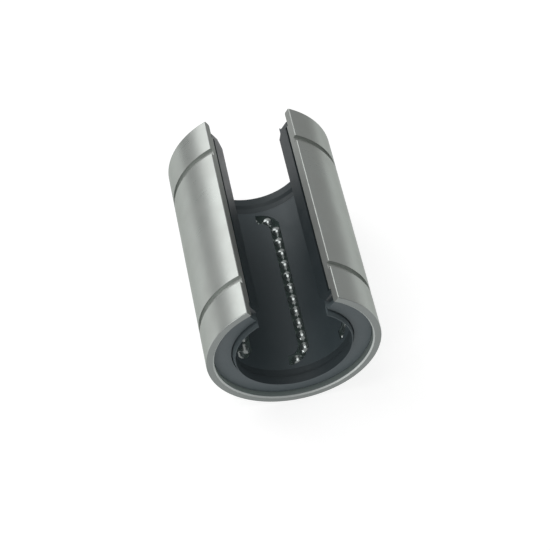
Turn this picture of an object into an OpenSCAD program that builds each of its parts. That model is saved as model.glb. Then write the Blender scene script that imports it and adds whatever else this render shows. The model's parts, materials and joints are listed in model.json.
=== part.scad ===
// Linear ball bushing, open type, with a lip seal at each end.
// The bushing axis is Y, the slot opens towards +Z and the origin is on the axis at mid-length.

/* [Fits] */
// Diameter of the shaft circle that the loaded balls and the seal lips run on
shaft_d = 30; // [29.9:0.05:30.1]
// Outside diameter of the sleeve, which is the housing bore
sleeve_d = 45; // [44.9:0.1:46]
// Overall length of the sleeve
sleeve_l = 64; // [64:0.5:68]
// Full angle of the slot along the top
slot_angle = 60; // [50:1:60]

/* [Sleeve] */
// Bore of the sleeve around the retainer
sleeve_bore_d = 39.8; // [39.6:0.05:39.9]
// Radius of the rounded outer edge of each end face
sleeve_round = 0.3; // [0.2:0.1:0.8]
// Bevel along the outer edges of the slot
slot_bevel = 0.15; // [0.1:0.05:0.3]
// Bore of the seal seat at each end
seat_d = 40.8; // [40.8:0.1:41]
// Depth of the seal seat
seat_l = 4.5; // [4.2:0.1:4.6]
// Chamfer on the mouth of the seal seat
seat_chamfer = 0.35; // [0.2:0.05:0.8]
// Width of each snap-ring groove
groove_w = 1.85; // [1.6:0.05:2]
// Floor diameter of each snap-ring groove
groove_d = 43; // [42.8:0.1:44]
// Distance over the outer walls of the two snap-ring grooves
groove_span = 44.5; // [43:0.5:46]

/* [Balls] */
// Diameter of one ball
ball_d = 3.969; // [3.95:0.001:3.969]
// Centre distance of the balls in a loaded row
load_pitch = 4; // [3.98:0.01:4.02]
// Number of balls in a loaded row
load_count = 11; // [11]
// Number of balls in a return row
return_count = 9; // [8:1:9]
// Number of balls in each end turn
turn_count = 3; // [2:1:3]
// Number of ball circuits round the bushing
circuits = 5; // [5]
// How far the balls have rolled from the middle of their travel, towards the rear in the loaded rows
rest_roll = -0.9; // [-1:0.1:0]
// How far the balls in the rear turns stand ahead of the others
rear_lead = 0.8; // [0:0.1:0.8]

/* [Ball track] */
// Radius of the end turns, seen from outside
turn_r = 4.9; // [4.85:0.05:4.95]
// Half-length of the straight part of a circuit
straight_y = 19.6; // [19.5:0.1:19.7]
// Half-length of the return row, between the centres of its end balls
return_y = 16.2; // [16:0.1:16.4]
// Angle round the turn of the first ball after the loaded row
turn_first = 52; // [52:0.5:52.5]
// Angle between neighbouring balls in a turn
turn_step = 48.2; // [48:0.1:48.4]
// Height above the axis of the first ball in a turn
climb_z = 17; // [17:0.05:17.1]
// Height above the axis of the returning balls
return_z = 17.8; // [17.8:0.05:17.9]
// Gap round a ball in its channel
channel_gap = 0.165; // [0.14:0.005:0.17]
// Farthest that the balls roll either way from the middle of their travel
roll_limit = 1; // [0.8:0.1:1]

/* [Raceway lands] */
// Gap between a loaded ball and its land
land_gap = 0.01; // [0.005:0.005:0.02]
// Width of a land
land_w = 3; // [2.4:0.1:3.2]
// Length of a land between its end ramps
land_l = 40.8; // [40:0.2:41]
// Length of the ramp at each end of a land
land_ramp = 1; // [0.6:0.1:1.2]
// Depth that a land is let into the sleeve
land_root = 0.5; // [0.3:0.1:0.8]
// Extra radius of the relief grooves over the retainer's channels
relief_gap = 0.06; // [0.04:0.01:0.1]
// Distance that a turn's relief reaches back over the loaded row's side
relief_back = 1.5; // [1.2:0.1:1.6]

/* [Retainer] */
// Outside diameter of the retainer
retainer_d = 38.4; // [38.3:0.05:38.6]
// Bore of the retainer
retainer_bore_d = 30.8; // [30.6:0.05:30.9]
// Diameter of the collar at each end of the retainer
collar_d = 40.4; // [40.2:0.1:40.6]
// Length of a collar
collar_l = 1.6; // [1.4:0.1:1.7]
// Diameter of the mouth at each end of the retainer
mouth_d = 34.6; // [34:0.1:35]
// Depth of the mouth's taper
mouth_l = 2.3; // [2.1:0.1:2.5]
// Width of the window that a turning ball shows through
window_w = 2.9; // [2.8:0.05:2.95]
// Distance that a window reaches past the top of its turn
window_past = 0.2; // [0:0.1:0.4]
// Slope of the window's sides towards the axis
window_slope = 0.19; // [0.15:0.01:0.2]
// Floor height of the channel where the balls leave the loaded row
climb_floor = 15.5; // [15.45:0.05:15.5]
// Floor height of the rest of a turn
turn_floor = 15.75; // [15.7:0.05:15.75]

/* [Seals] */
// Outside diameter of a seal
seal_d = 40.75; // [40.5:0.05:40.75]
// Thickness of a seal's flat plate
seal_plate = 1.1; // [1:0.05:1.2]
// Gap between a seal and the retainer behind it
seal_gap = 0.05; // [0.03:0.01:0.08]
// Angle that a seal is cut back beside each slot wall
seal_setback = 4.6; // [3:0.1:5]
// Length of the cylindrical lip land that touches the shaft
lip_land = 2.2; // [2:0.1:2.3]
// Length of the cone behind the lip land
lip_cone = 1; // [0.8:0.1:1.2]
// Thickness of the lip at its root
lip_t = 0.5; // [0.45:0.01:0.55]
// Thickness of the lip at its tip
lip_tip_t = 0.12; // [0.1:0.01:0.2]
// Distance that the lip stands out of the seal's face
lip_out = 1.45; // [1.2:0.05:1.5]
// Distance from the face to where the lip starts to taper
lip_shoulder = 0.45; // [0.3:0.05:0.6]
// Diameter of the inner edge of the seal's flat face
face_inner_d = 31.6; // [31.5:0.1:31.9]
// Depth of the V groove between face and lip
vee_depth = 0.9; // [0.8:0.1:1]
// Width of the V groove at its bottom
vee_floor = 0.08; // [0.05:0.01:0.1]
// Chamfer on the outer edge of the seal's face
seal_chamfer = 0.15; // [0.1:0.05:0.3]

/* [Hidden] */
$fn = 96;
// size of cutting blocks, well past the bushing
FAR = 100;
// angle between the points of a rounded edge
ROUND_STEP = 18;
// how far a window's cut starts inside the retainer's bore, and ends above the channel's floor
WINDOW_BELOW = 3;
WINDOW_ABOVE = 0.5;

// radii
shaft_r = shaft_d / 2;
sleeve_r = sleeve_d / 2;
sleeve_bore_r = sleeve_bore_d / 2;
seat_r = seat_d / 2;
groove_r = groove_d / 2;
ball_r = ball_d / 2;
retainer_r = retainer_d / 2;
retainer_bore_r = retainer_bore_d / 2;
collar_r = collar_d / 2;
mouth_r = mouth_d / 2;
seal_r = seal_d / 2;
face_inner_r = face_inner_d / 2;

// stations along the axis
end_y = sleeve_l / 2;
seat_y = end_y - seat_l;
groove_y = (groove_span - groove_w) / 2;
collar_y = seat_y + collar_l;
mouth_y = collar_y - mouth_l;
plate_y = collar_y + seal_gap;
face_y = plate_y + seal_plate;
tip_y = face_y + lip_out;

// ball track, in a circuit's own frame: X across the circuit, Y along the axis, Z outwards
channel_r = ball_r + channel_gap;
load_rho = shaft_r + ball_r;
load_x = -turn_r;
load_z = sqrt(load_rho * load_rho - turn_r * turn_r);
load_angle = atan2(load_x, load_z);
load_y = load_pitch * (load_count - 1) / 2;
load_end_y = load_y + roll_limit;
return_end_y = straight_y + 0.2;
land_r = load_rho + ball_r + land_gap;
circuit_pitch = 360 / (circuits + 1);

// small offsets that keep neighbouring cuts from only just touching
SHY = 0.01;
LOOSE = 0.05;

// ---- shapes that repeat ----

// a profile of [radius, y] points turned round the bushing axis
module turned(profile) {
    rotate([-90, 0, 0]) rotate_extrude() polygon(profile);
}

// the outline of one end at +Y, closed by its mirror image at -Y
function both_ends_of(end) = concat(
    end,
    [for (k = [len(end) - 1:-1:0]) [end[k][0], -end[k][1]]]
);

// a plain cylinder along the bushing axis
module along_y(r, length) {
    rotate([90, 0, 0]) cylinder(r = r, h = length, center = true);
}

// the open sector above the axis, between two radial planes
module sector(half_angle) {
    side = FAR * tan(half_angle);
    rotate([90, 0, 0])
        linear_extrude(height = FAR, center = true)
            polygon([[0, 0], [side, FAR], [-side, FAR]]);
}

// puts a circuit's own frame at its place round the bushing
module circuit_frame(i) {
    rotate([0, i * circuit_pitch, 0]) children();
}

// the same for every circuit
module every_circuit() {
    for (i = [1:circuits]) circuit_frame(i) children();
}

// the two ends of a circuit: each child is built at the +Y end
module both_ends() {
    children();
    mirror([0, 1, 0]) children();
}

// a band round the turn at the +Y end, given by [radius, z] points
module turn_band(profile, from_x, to_x) {
    intersection() {
        translate([0, straight_y, 0]) rotate_extrude() polygon(profile);
        translate([from_x, straight_y, 0]) cube([to_x - from_x, FAR, FAR]);
    }
}

// a straight-sided channel round the turn, from its floor outwards
module turn_channel(floor_z, from_x, to_x) {
    inner = turn_r - channel_r;
    outer = turn_r + channel_r;
    top = sleeve_r;
    turn_band([[inner, floor_z], [outer, floor_z], [outer, top], [inner, top]], from_x, to_x);
}

// ---- sleeve ----

// points of a quarter round between the outside and the end face at +Y
function edge_round() = [
    for (a = [0:ROUND_STEP:90])
        [
            sleeve_r - sleeve_round * (1 - cos(a)),
            end_y - sleeve_round * (1 - sin(a))
        ]
];

// the outline of the sleeve's end at +Y: rounded edge, seal seat and the start of the bore
function sleeve_end() = concat(
    edge_round(),
    [
        [seat_r + seat_chamfer, end_y],
        [seat_r, end_y - seat_chamfer],
        [seat_r, seat_y],
        [sleeve_bore_r, seat_y]
    ]
);

module sleeve_blank() {
    turned(both_ends_of(sleeve_end()));
}

// the small bevel along each outer edge of the slot
module slot_edge_bevels() {
    side = slot_bevel * sqrt(2);
    for (turn = [-slot_angle / 2, slot_angle / 2])
        rotate([0, turn, 0])
            translate([0, 0, sleeve_r])
                rotate([0, 45, 0]) cube([side, FAR, side], center = true);
}

module snap_ring_groove() {
    y0 = groove_y - groove_w / 2;
    y1 = groove_y + groove_w / 2;
    beyond = sleeve_r + 1;
    turned([[groove_r, y0], [beyond, y0], [beyond, y1], [groove_r, y1]]);
}

// the hardened strip that one loaded row rolls on, with a ramp at each end
module raceway_land() {
    y0 = land_l / 2;
    y1 = y0 + land_ramp;
    root = sleeve_bore_r + land_root;
    intersection() {
        turned([
            [root, -y1],
            [root, y1],
            [sleeve_bore_r, y1],
            [land_r, y0],
            [land_r, -y0],
            [sleeve_bore_r, -y1]
        ]);
        rotate([0, load_angle, 0])
            translate([-land_w / 2, -y1, 0]) cube([land_w, 2 * y1, FAR]);
    }
}

// the room that the returning and turning balls need in the sleeve's bore
module return_relief() {
    relief_r = channel_r + relief_gap;
    translate([turn_r, 0, return_z]) along_y(relief_r, 2 * return_end_y);
    both_ends() intersection() {
        translate([0, straight_y, return_z])
            rotate_extrude() translate([turn_r, 0]) circle(r = relief_r + LOOSE);
        translate([-relief_back, straight_y, 0]) cube([FAR, FAR, FAR]);
    }
}

module outer_sleeve() {
    color("#b9bdb8") difference() {
        union() {
            sleeve_blank();
            every_circuit() raceway_land();
        }
        every_circuit() return_relief();
        both_ends() snap_ring_groove();
        sector(slot_angle / 2);
        slot_edge_bevels();
    }
}

// ---- retainer ----

// the channel of the loaded row, open outwards, with a round end
module load_channel() {
    mouth = channel_r - LOOSE;
    translate([load_x, 0, load_z]) {
        along_y(channel_r, 2 * load_end_y);
        both_ends() translate([0, load_end_y, 0]) sphere(r = channel_r + SHY);
    }
    rotate([0, load_angle, 0])
        translate([-mouth, -load_end_y, load_rho]) cube([2 * mouth, 2 * load_end_y, FAR]);
}

module return_channel() {
    translate([turn_r, 0, return_z]) along_y(channel_r, 2 * return_end_y);
}

// the part of the J-shaped window that runs round the turn
module turn_window() {
    low = retainer_bore_r - WINDOW_BELOW;
    high = climb_floor + WINDOW_ABOVE;
    low_r = turn_r - window_slope * (climb_z - low);
    high_r = turn_r - window_slope * (climb_z - high);
    half = window_w / 2;
    turn_band(
        [[low_r - half, low], [low_r + half, low], [high_r + half, high], [high_r - half, high]],
        -FAR, window_past
    );
}

module ball_circuit_cut() {
    load_channel();
    return_channel();
    both_ends() {
        turn_channel(climb_floor, -FAR, window_past);
        turn_channel(turn_floor, -FAR, FAR);
        turn_window();
    }
}

// the outline of the retainer's end at +Y: a collar with a tapered mouth
function retainer_end() = [
    [retainer_r, seat_y + LOOSE],
    [collar_r, seat_y + LOOSE],
    [collar_r, collar_y],
    [mouth_r, collar_y],
    [retainer_bore_r, mouth_y]
];

module ball_retainer() {
    color("#2b2f31") difference() {
        turned(both_ends_of(retainer_end()));
        every_circuit() ball_circuit_cut();
        sector(slot_angle / 2);
    }
}

// ---- seals ----

// ring seal of the +Y end: a plate with a V groove, a lip on the shaft circle and a plug in the mouth
module lip_seal() {
    lip_r = shaft_r + lip_t;
    land_y = tip_y - lip_land;
    floor_y = face_y - vee_depth;
    difference() {
        turned([
            [mouth_r, plate_y],
            [seal_r, plate_y],
            [seal_r, face_y - seal_chamfer],
            [seal_r - seal_chamfer, face_y],
            [face_inner_r, face_y],
            [lip_r + vee_floor, floor_y],
            [lip_r, floor_y],
            [lip_r, face_y + lip_shoulder],
            [shaft_r + lip_tip_t, tip_y],
            [shaft_r, tip_y],
            [shaft_r, land_y],
            [retainer_bore_r, land_y - lip_cone],
            [retainer_bore_r, mouth_y + seal_gap]
        ]);
        sector(slot_angle / 2 + seal_setback);
    }
}

module rear_seal() {
    color("#3a3f41") lip_seal();
}

module front_seal() {
    color("#3a3f41") mirror([0, 1, 0]) lip_seal();
}

// ---- balls ----

module ball() {
    color("#d6dade") sphere(r = ball_r);
}

module load_balls(i) {
    circuit_frame(i)
        for (k = [0:load_count - 1])
            translate([load_x, k * load_pitch - load_y + rest_roll, load_z]) ball();
}

module return_balls(i) {
    gap = 2 * return_y / (return_count - 1);
    circuit_frame(i)
        for (k = [0:return_count - 1])
            translate([turn_r, k * gap - return_y - rest_roll, return_z]) ball();
}

// the balls going round the turn at the +Y end (side = 1) or the -Y end (side = -1)
module turn_balls(i, side) {
    lead = side > 0 ? rear_lead : 0;
    rolled = (side * rest_roll + lead) / turn_r * 180 / PI;
    circuit_frame(i)
        for (k = [0:turn_count - 1])
            let (a = turn_first + k * turn_step + rolled)
                translate([
                    -turn_r * cos(a),
                    side * (straight_y + turn_r * sin(a)),
                    k == 0 ? climb_z : return_z
                ]) ball();
}

outer_sleeve();
ball_retainer();
front_seal();
rear_seal();
for (i = [1:circuits]) {
    load_balls(i);
    return_balls(i);
    turn_balls(i, -1);
    turn_balls(i, 1);
}
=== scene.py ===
"""Looks of an open linear ball bushing: its materials, floor, light and camera.

The frame is the CAD model's own: metres, the bushing axis along Y, the slot towards +Z
and the origin on the axis at mid-length.
"""

import json
import math

import bpy
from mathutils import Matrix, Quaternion, Vector


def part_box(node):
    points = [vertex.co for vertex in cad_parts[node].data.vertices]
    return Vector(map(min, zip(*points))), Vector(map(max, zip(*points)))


MM = 0.001

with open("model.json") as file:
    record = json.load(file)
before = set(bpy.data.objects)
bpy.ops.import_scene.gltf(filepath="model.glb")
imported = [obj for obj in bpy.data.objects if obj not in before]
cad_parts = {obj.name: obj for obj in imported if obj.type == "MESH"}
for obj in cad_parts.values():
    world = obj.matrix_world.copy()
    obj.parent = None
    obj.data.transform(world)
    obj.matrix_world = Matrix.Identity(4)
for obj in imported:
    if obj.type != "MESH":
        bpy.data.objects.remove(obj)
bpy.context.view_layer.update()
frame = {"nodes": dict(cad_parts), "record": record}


# ---- measures of the frame ----

sleeve_low, sleeve_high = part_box("outer_sleeve")
SLEEVE_R = sleeve_high.x
SLEEVE_END = sleeve_high.y
FLOOR_Z = sleeve_low.z
RETAINER_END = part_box("ball_retainer")[1].y

# the shaft's radius, which the seal lips and the loaded balls run on
mounts = {mount["name"]: mount for mount in frame["record"]["mounts"]}
SHAFT_R = mounts["shaft_bore"]["dims"]["r_mm"] * MM

# an angle from the top that is safely past the slot's walls, in degrees
PAST_SLOT = 33


# ---- colours ----

BLACK = (0.0, 0.0, 0.0, 1.0)
WHITE = (1.0, 1.0, 1.0, 1.0)

# the sleeve: what is ground, milled on the slot's walls, and turned on the ends and the grooves; the
# ends carry painted shade and the inside painted light
GROUND_DULL = (0.455, 0.48, 0.46, 1.0)
GROUND_BRIGHT = (0.49, 0.515, 0.495, 1.0)
GROUND_HAZY = (0.455, 0.475, 0.455, 1.0)
MILLED_WALL = (0.38, 0.395, 0.38, 1.0)
END_FACE_PAINTED_SHADE = (0.225, 0.24, 0.235, 1.0)
TURNED_GROOVE = (0.60, 0.62, 0.60, 1.0)
SLEEVE_INSIDE_PAINTED_LIGHT = (0.55, 0.57, 0.56, 1.0)
SLEEVE_PAINTED_GLOW = (0.016, 0.023, 0.020, 1.0)
# what ground steel reflects at a grazing angle
GRAZING_TINT = (0.52, 0.54, 0.52, 1.0)

PLASTIC_DARK = (0.021, 0.029, 0.033, 1.0)
PLASTIC_LIGHT = (0.030, 0.039, 0.043, 1.0)
# painted light for the bore
BORE_PAINTED_DARK = (0.050, 0.068, 0.077, 1.0)
BORE_PAINTED_LIGHT = (0.062, 0.082, 0.090, 1.0)
# painted light and a painted glow for the balls' channels
CHANNEL_PAINTED_LIGHT = (0.20, 0.25, 0.25, 1.0)
CHANNEL_PAINTED_GLOW = (0.015, 0.020, 0.019, 1.0)

RUBBER_DARK = (0.062, 0.081, 0.089, 1.0)
RUBBER_LIGHT = (0.080, 0.101, 0.109, 1.0)
RUBBER_AXIS_SIDE = (0.036, 0.048, 0.053, 1.0)

BALL_OILY = (0.36, 0.39, 0.385, 1.0)
BALL_CLEAN = (0.46, 0.485, 0.475, 1.0)
BALL_GLOW = (0.010, 0.0125, 0.012, 1.0)

FLOOR_DULL = (0.46, 0.46, 0.46, 1.0)
FLOOR_PALE = (0.50, 0.50, 0.50, 1.0)


# ---- texture scales, in waves to a metre ----

# across the machined lines, along the ground and turned ones, and along the milled ones
ACROSS_LINES = 9000.0
ALONG_GROUND = 90.0
ALONG_MILLED = 260.0
STEEL_HAZE = 120.0
PLASTIC_GRAIN = 4200.0
PLASTIC_FLOW = 140.0
RUBBER_GRAIN = 5200.0
RUBBER_BLOOM = 200.0
OIL_PATCHES = 700.0
PAPER_GRAIN = 900.0


# ---- stage and camera ----

# brightness of the grey surround that lights the bushing
SURROUND = 0.42
LIGHT_DISTANCE = 0.8
FLOOR_RADIUS = 0.17
FLOOR_CORNERS = 96
FLOOR_GLOW = 0.72
# the gap that keeps the floor from touching the sleeve
FLOOR_GAP = 0.02 * MM

# the photograph's viewing angle in degrees, and how far off the camera stands
VIEW_AZIMUTH = -8.463
VIEW_ELEVATION = 51.851
VIEW_ROLL = -2.580
VIEW_DISTANCE = 440.354 * MM
# how far the camera aims to the right of the origin, and below it
AIM_RIGHT = 0.794 * MM
AIM_BELOW = 5.847 * MM
LENS = 109.665
SENSOR = 36


# ---- shader helpers ----


def set_input(tree, node, name, value):
    """Links a socket to an input, or sets the input's own value."""
    if isinstance(value, bpy.types.NodeSocket):
        tree.links.new(value, node.inputs[name])
    else:
        node.inputs[name].default_value = value


def add(tree, kind, inputs=None, **settings):
    """A new node of the kind, with its settings and its inputs."""
    node = tree.nodes.new("ShaderNode" + kind)
    for name, value in settings.items():
        setattr(node, name, value)
    for name, value in (inputs or {}).items():
        set_input(tree, node, name, value)
    return node


def calc(tree, operation, a, b=0.0):
    """One sum on two numbers."""
    return add(tree, "Math", {0: a, 1: b}, operation=operation).outputs[0]


def total(tree, first, *others):
    """The sum of several numbers."""
    for other in others:
        first = calc(tree, "ADD", first, other)
    return first


def ramp(tree, value, low, high, to_low=0.0, to_high=1.0, smooth=True):
    """The value carried from low..high over to to_low..to_high, and held at the ends."""
    curve = "SMOOTHSTEP" if smooth else "LINEAR"
    node = add(
        tree,
        "MapRange",
        {"Value": value, 1: low, 2: high, 3: to_low, 4: to_high},
        interpolation_type=curve,
    )
    return node.outputs["Result"]


def mix_colour(tree, factor, a, b):
    """Two colours mixed."""
    node = add(tree, "Mix", data_type="RGBA")
    set_input(tree, node, "Factor", factor)
    set_input(tree, node, 6, a)
    set_input(tree, node, 7, b)
    return node.outputs[2]


def noise(tree, vector, scale, detail=2.0, roughness=0.5, distortion=0.0):
    """Smooth noise from 0 to 1."""
    inputs = {
        "Vector": vector,
        "Scale": scale,
        "Detail": detail,
        "Roughness": roughness,
        "Distortion": distortion,
    }
    return add(tree, "TexNoise", inputs).outputs[0]


def bump(tree, height, distance, strength):
    """A normal that follows the height, whose full swing is the distance."""
    inputs = {"Height": height, "Distance": distance, "Strength": strength}
    return add(tree, "Bump", inputs).outputs["Normal"]


def new_material(name, **constants):
    """A material with its Principled shader, whose plain values are set on its own sockets."""
    material = bpy.data.materials.new(name)
    material.use_nodes = True
    tree = material.node_tree
    shader = tree.nodes["Principled BSDF"]
    for socket, value in constants.items():
        shader.inputs[socket.replace("_", " ")].default_value = value
    return material, tree, shader


class Round:
    """Where a shaded point is round the bushing axis, in metres, and which way its surface faces."""

    def __init__(self, tree):
        coordinates = add(tree, "TexCoord")
        self.place = coordinates.outputs["Object"]
        place = add(tree, "SeparateXYZ", {0: self.place})
        facing = add(tree, "SeparateXYZ", {0: coordinates.outputs["Normal"]})
        self.y = place.outputs["Y"]
        x, z = place.outputs["X"], place.outputs["Z"]
        across, up = facing.outputs["X"], facing.outputs["Z"]
        squares = calc(tree, "ADD", calc(tree, "MULTIPLY", x, x), calc(tree, "MULTIPLY", z, z))
        self.radius = calc(tree, "SQRT", squares)
        self.arc = calc(tree, "MULTIPLY", calc(tree, "ARCTAN2", x, z), SLEEVE_R)
        along = calc(tree, "ADD", calc(tree, "MULTIPLY", x, across), calc(tree, "MULTIPLY", z, up))
        # 1 where the surface faces away from the axis, -1 where it faces the axis
        self.outward = calc(tree, "DIVIDE", along, self.radius)
        # 1 where it faces either end
        self.endward = calc(tree, "ABSOLUTE", facing.outputs["Y"])
        # 1 where it faces round the bushing, as the slot's walls do
        other = calc(tree, "ADD", calc(tree, "ABSOLUTE", self.outward), self.endward)
        self.sideways = calc(tree, "SUBTRACT", 1.0, other)


# ---- materials ----


def ground_steel():
    """Hardened bearing steel: ground round the outside, turned elsewhere, milled on the slot walls."""
    material, tree, shader = new_material(
        "ground_steel",
        Metallic=1.0,
        Anisotropic=0.35,
        Specular_Tint=GRAZING_TINT,
        Emission_Strength=1.0,
    )
    at = Round(tree)
    wall = ramp(tree, at.sideways, 0.55, 0.8)
    inside = ramp(tree, at.outward, -0.2, -0.6)
    # the turned floors of the snap-ring grooves lie below the ground surface
    below = ramp(tree, at.radius, SLEEVE_R - 0.15 * MM, SLEEVE_R - 0.4 * MM)
    on_end = ramp(tree, calc(tree, "ABSOLUTE", at.y), SLEEVE_END - 0.4 * MM, SLEEVE_END - 0.1 * MM)
    end_face = calc(tree, "MULTIPLY", on_end, ramp(tree, at.endward, 0.6, 0.8))
    turned = calc(tree, "MULTIPLY", below, ramp(tree, at.outward, 0.6, 0.8))
    # lines run round the axis on the outside and the ends, and along the axis on the slot walls
    y_scale = ramp(tree, wall, 0.0, 1.0, ACROSS_LINES, ALONG_MILLED, smooth=False)
    lines_at = add(
        tree,
        "CombineXYZ",
        {
            "X": calc(tree, "MULTIPLY", at.arc, ALONG_GROUND),
            "Y": calc(tree, "MULTIPLY", at.y, y_scale),
            "Z": calc(tree, "MULTIPLY", at.radius, ACROSS_LINES),
        },
    ).outputs[0]
    lines = noise(tree, lines_at, 1.0, detail=3.0, roughness=0.65)
    haze = noise(tree, at.place, STEEL_HAZE, detail=4.0, roughness=0.55)
    base = mix_colour(tree, lines, GROUND_DULL, GROUND_BRIGHT)
    base = mix_colour(tree, ramp(tree, haze, 0.35, 0.7), base, GROUND_HAZY)
    base = mix_colour(tree, wall, base, MILLED_WALL)
    # the end faces are painted darker: painted shade for the dark surroundings they reflect
    base = mix_colour(tree, end_face, base, END_FACE_PAINTED_SHADE)
    base = mix_colour(tree, turned, base, TURNED_GROOVE)
    # painted light: the inside is painted paler than the ground outside, for the light that passes
    # round between the parts
    base = mix_colour(tree, inside, base, SLEEVE_INSIDE_PAINTED_LIGHT)
    set_input(tree, shader, "Base Color", base)
    # painted light: the inside also gets a faint painted glow, for the light that passes round between
    # the balls, the steel and the plastic, as the ball channels of the retainer do
    set_input(tree, shader, "Emission Color", mix_colour(tree, inside, BLACK, SLEEVE_PAINTED_GLOW))
    rough = total(
        tree,
        ramp(tree, lines, 0.25, 0.75, 0.28, 0.34),
        ramp(tree, inside, 0.0, 1.0, 0.0, 0.25),
        ramp(tree, haze, 0.3, 0.7, -0.02, 0.03),
        ramp(tree, wall, 0.0, 1.0, 0.0, 0.22),
        ramp(tree, turned, 0.0, 1.0, 0.0, 0.3),
    )
    set_input(tree, shader, "Roughness", rough)
    # highlights stretch across the ground and turned lines, which run round the axis
    tangent = add(tree, "Tangent", direction_type="RADIAL", axis="Y").outputs[0]
    set_input(tree, shader, "Tangent", tangent)
    set_input(tree, shader, "Normal", bump(tree, lines, distance=0.004 * MM, strength=0.15))
    return material


def moulded_plastic():
    """Black engineering plastic with the faint grain and flow of a mould."""
    material, tree, shader = new_material(
        "moulded_plastic",
        Specular_IOR_Level=0.5,
        Emission_Strength=1.0,
    )
    at = Round(tree)
    grain = noise(tree, at.place, PLASTIC_GRAIN, detail=3.0, roughness=0.6)
    flow = noise(tree, at.place, PLASTIC_FLOW, detail=3.0, roughness=0.5, distortion=0.6)
    base = mix_colour(tree, flow, PLASTIC_DARK, PLASTIC_LIGHT)
    # the bore is painted lighter and greyer than the rest: painted light, standing in for light that
    # bounces into it
    bore = ramp(tree, at.outward, -0.5, -0.8)
    base = mix_colour(tree, bore, base, mix_colour(tree, flow, BORE_PAINTED_DARK, BORE_PAINTED_LIGHT))
    # the balls' channels are painted pale and get a faint painted glow: painted light for what the
    # balls and the steel pass on to them in more reflections than a render follows
    deep = ramp(tree, at.radius, SHAFT_R + 0.5 * MM, SHAFT_R + 0.9 * MM)
    channel_y = RETAINER_END - 2 * MM
    inboard = ramp(tree, calc(tree, "ABSOLUTE", at.y), channel_y, channel_y - 1 * MM)
    slot_arc = SLEEVE_R * math.radians(PAST_SLOT)
    off_slot = ramp(tree, calc(tree, "ABSOLUTE", at.arc), slot_arc, slot_arc + 1 * MM)
    channel = calc(tree, "MULTIPLY", calc(tree, "MULTIPLY", deep, inboard), off_slot)
    base = mix_colour(tree, channel, base, CHANNEL_PAINTED_LIGHT)
    set_input(tree, shader, "Base Color", base)
    set_input(tree, shader, "Emission Color", mix_colour(tree, channel, BLACK, CHANNEL_PAINTED_GLOW))
    rough = total(
        tree,
        ramp(tree, grain, 0.3, 0.7, 0.30, 0.40),
        ramp(tree, flow, 0.3, 0.7, -0.03, 0.05),
        ramp(tree, bore, 0.0, 1.0, 0.0, 0.15),
    )
    set_input(tree, shader, "Roughness", rough)
    set_input(tree, shader, "Normal", bump(tree, grain, distance=0.006 * MM, strength=0.35))
    return material


def seal_rubber():
    """Dark nitrile rubber, matt, with a fine grain, and darker on its faces that face the axis."""
    material, tree, shader = new_material("seal_rubber", Specular_IOR_Level=0.45)
    at = Round(tree)
    grain = noise(tree, at.place, RUBBER_GRAIN, detail=4.0, roughness=0.65)
    bloom = noise(tree, at.place, RUBBER_BLOOM, detail=3.0, roughness=0.55)
    base = mix_colour(tree, bloom, RUBBER_DARK, RUBBER_LIGHT)
    # darker on the faces that face the axis
    facing_axis = ramp(tree, at.outward, -0.3, -0.6)
    base = mix_colour(tree, facing_axis, base, RUBBER_AXIS_SIDE)
    set_input(tree, shader, "Base Color", base)
    rough = total(
        tree,
        ramp(tree, grain, 0.3, 0.7, 0.48, 0.60),
        ramp(tree, bloom, 0.3, 0.7, -0.04, 0.04),
    )
    set_input(tree, shader, "Roughness", rough)
    set_input(tree, shader, "Normal", bump(tree, grain, distance=0.010 * MM, strength=0.45))
    return material


def polished_steel():
    """Chrome steel balls: bright, with a film of oil that dulls them in places."""
    # the faint glow stands for the dim light that passes round between the balls
    material, tree, shader = new_material(
        "polished_steel",
        Metallic=1.0,
        Emission_Color=BALL_GLOW,
        Emission_Strength=1.0,
    )
    at = Round(tree)
    oil = noise(tree, at.place, OIL_PATCHES, detail=2.0, roughness=0.5)
    base = mix_colour(tree, oil, BALL_OILY, BALL_CLEAN)
    set_input(tree, shader, "Base Color", base)
    set_input(tree, shader, "Roughness", ramp(tree, oil, 0.35, 0.7, 0.17, 0.26))
    return material


def dress_nodes():
    """Puts each CAD node's material on its slot."""
    steel = ground_steel()
    plastic = moulded_plastic()
    rubber = seal_rubber()
    polished = polished_steel()
    for name, node in frame["nodes"].items():
        if name == "outer_sleeve":
            material = steel
        elif name == "ball_retainer":
            material = plastic
        elif name.endswith("_seal"):
            material = rubber
        else:
            material = polished
        for slot in node.material_slots:
            slot.material = material


# ---- stage ----


def make_floor():
    """A plain pale floor under the sleeve, lit faintly from below as a light table is."""
    outline = []
    for k in range(FLOOR_CORNERS):
        around = math.tau * k / FLOOR_CORNERS
        x, y = FLOOR_RADIUS * math.cos(around), FLOOR_RADIUS * math.sin(around)
        outline.append((x, y, FLOOR_Z - FLOOR_GAP))
    mesh = bpy.data.meshes.new("floor")
    mesh.from_pydata(outline, [], [list(range(FLOOR_CORNERS))])
    floor = bpy.data.objects.new("floor", mesh)
    bpy.context.scene.collection.objects.link(floor)
    material, tree, shader = new_material(
        "floor_paper",
        Roughness=0.9,
        Specular_IOR_Level=0.1,
        Emission_Color=WHITE,
        Emission_Strength=FLOOR_GLOW,
    )
    place = add(tree, "TexCoord").outputs["Object"]
    grain = noise(tree, place, PAPER_GRAIN, detail=3.0)
    set_input(tree, shader, "Base Color", mix_colour(tree, grain, FLOOR_DULL, FLOOR_PALE))
    mesh.materials.append(material)


def toward(azimuth, elevation):
    """The direction at an azimuth in degrees, 0 to the front and 90 to the right, and an elevation."""
    around, above = math.radians(azimuth), math.radians(elevation)
    flat = math.cos(above)
    return Vector((math.sin(around) * flat, -math.cos(around) * flat, math.sin(above)))


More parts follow.
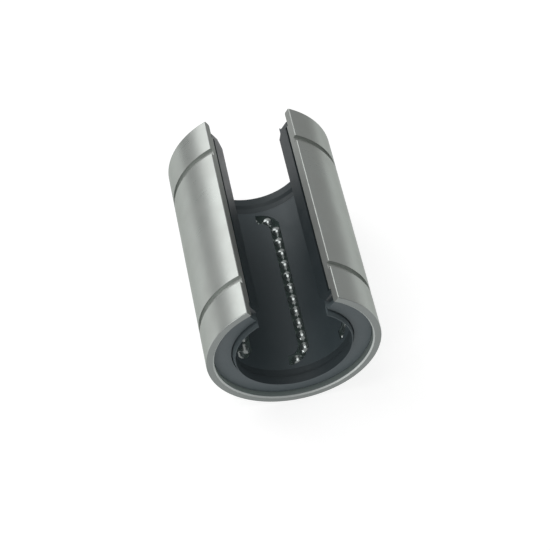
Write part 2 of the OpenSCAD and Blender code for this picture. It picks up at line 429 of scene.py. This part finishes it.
def make_light(name, azimuth, elevation, size, radiance):
    """A square soft light that faces the bushing."""
    place = LIGHT_DISTANCE * toward(azimuth, elevation)
    data = bpy.data.lights.new(name, "AREA")
    data.shape = "SQUARE"
    data.size = size
    data.energy = radiance * math.pi * size * size
    light = bpy.data.objects.new(name, data)
    light.location = place
    light.rotation_euler = place.to_track_quat("Z", "Y").to_euler()
    bpy.context.scene.collection.objects.link(light)


def make_surround():
    """The pale studio round the bushing: it looks white, and lights the steel with a softer grey."""
    world = bpy.data.worlds.new("studio")
    bpy.context.scene.world = world
    world.use_nodes = True
    tree = world.node_tree
    tree.nodes.clear()
    seen = add(tree, "Background", {"Color": WHITE, "Strength": 1.0})
    lighting = add(tree, "Background", {"Color": WHITE, "Strength": SURROUND})
    camera_ray = add(tree, "LightPath").outputs["Is Camera Ray"]
    both = add(tree, "MixShader", {0: camera_ray, 1: lighting.outputs[0], 2: seen.outputs[0]})
    add(tree, "OutputWorld", {"Surface": both.outputs[0]})


def make_lights():
    """Plain soft studio light: broad lights overhead and at the far left, and a small one in front."""
    make_surround()
    make_light("soft_overhead", azimuth=-93, elevation=78, size=0.5, radiance=1.7)
    make_light("soft_left", azimuth=-133, elevation=35, size=0.62, radiance=1.4)
    make_light("soft_front", azimuth=-48, elevation=12, size=0.2, radiance=6.0)


# ---- camera ----


def make_camera():
    """A camera at the photograph's viewing angle: high above the near end, a little to the left."""
    back = toward(VIEW_AZIMUTH, VIEW_ELEVATION)
    place = back * VIEW_DISTANCE
    right = Vector((0, 0, 1)).cross(back).normalized()
    up = back.cross(right)
    aim = right * AIM_RIGHT - up * AIM_BELOW
    roll = Quaternion((0, 0, 1), math.radians(VIEW_ROLL))
    data = bpy.data.cameras.new("camera")
    data.lens = LENS
    data.sensor_width = SENSOR
    camera = bpy.data.objects.new("camera", data)
    camera.location = place
    camera.rotation_euler = ((place - aim).to_track_quat("Z", "Y") @ roll).to_euler()
    bpy.context.scene.collection.objects.link(camera)
    bpy.context.scene.camera = camera


make_camera()
dress_nodes()
make_floor()
make_lights()
bpy.context.scene.view_settings.view_transform = "Standard"
